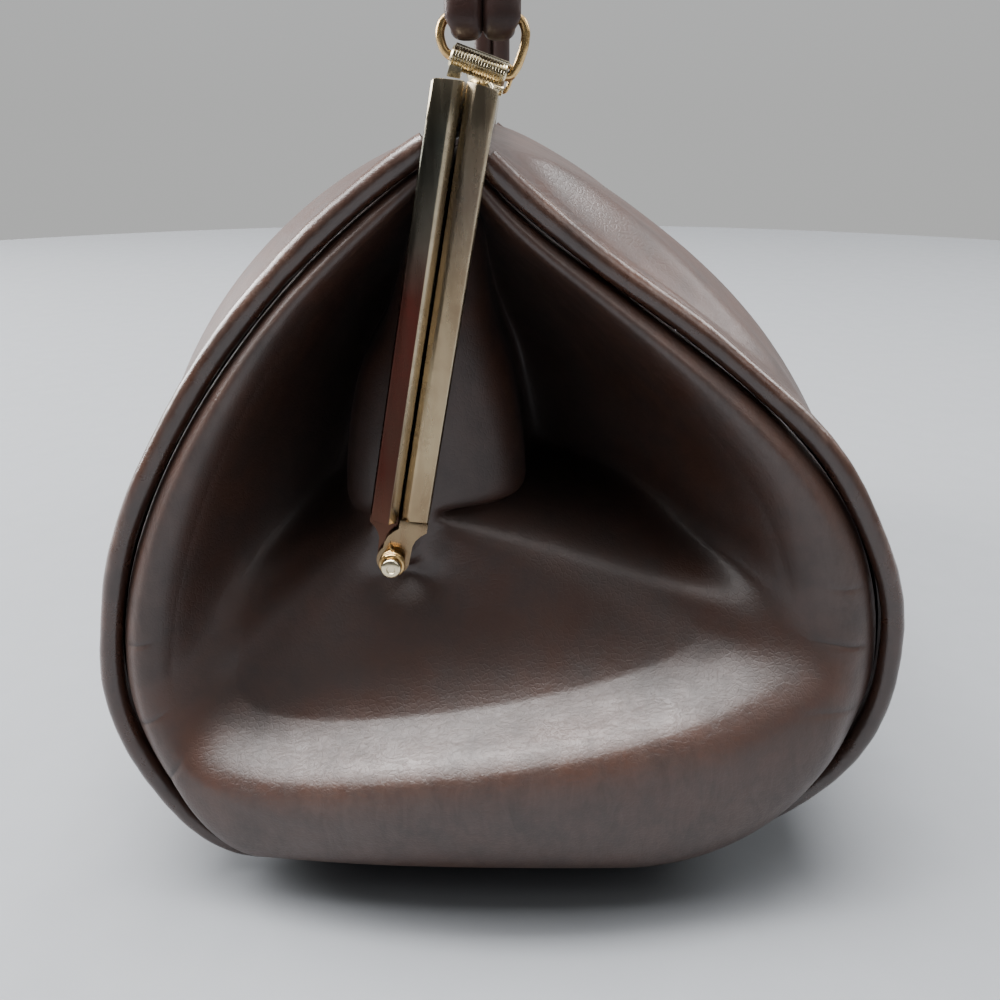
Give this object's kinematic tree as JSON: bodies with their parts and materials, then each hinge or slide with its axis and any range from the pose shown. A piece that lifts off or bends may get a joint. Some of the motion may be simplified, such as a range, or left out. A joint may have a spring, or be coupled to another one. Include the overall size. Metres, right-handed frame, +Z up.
{
  "type": "kiss lock satchel",
  "caption": "Soft leather satchel on a hinged metal frame, with folded-in gusset ends, corded seams, a ball kiss lock and an arched strap handle on wire bails.",
  "frame": {"origin": "on the ground, under the middle of the bag's box", "axes": "+X along the frame towards the end seen in the picture, +Y towards the front panel, +Z up"},
  "size_m": [0.3176, 0.19, 0.3086],
  "materials": {
    "leather": "smooth dark brown, semi-gloss, lightly creased",
    "piping": "smooth dark brown, worn shiny on the cord",
    "strap": "smooth dark reddish brown, semi-gloss",
    "frame_metal": "pale gold plate, polished, lightly worn",
    "wire_metal": "polished gold wire, lightly tarnished"
  },
  "bodies": {
    "root": {"body_wrap": "leather", "gusset_near": "leather", "gusset_far": "leather", "piping_near": "piping", "piping_far": "piping", "frame_back": "frame_metal", "frame_front": "frame_metal", "hinge_rivet_near": "frame_metal", "hinge_rivet_far": "frame_metal", "hinge_spring_near": "wire_metal", "hinge_spring_far": "wire_metal", "handle_barrel_near": "frame_metal", "handle_barrel_far": "frame_metal", "bail_near": "wire_metal", "bail_far": "wire_metal", "handle": "strap", "kiss_knob_back": "frame_metal", "kiss_knob_front": "frame_metal"}
  },
  "joints": []
}
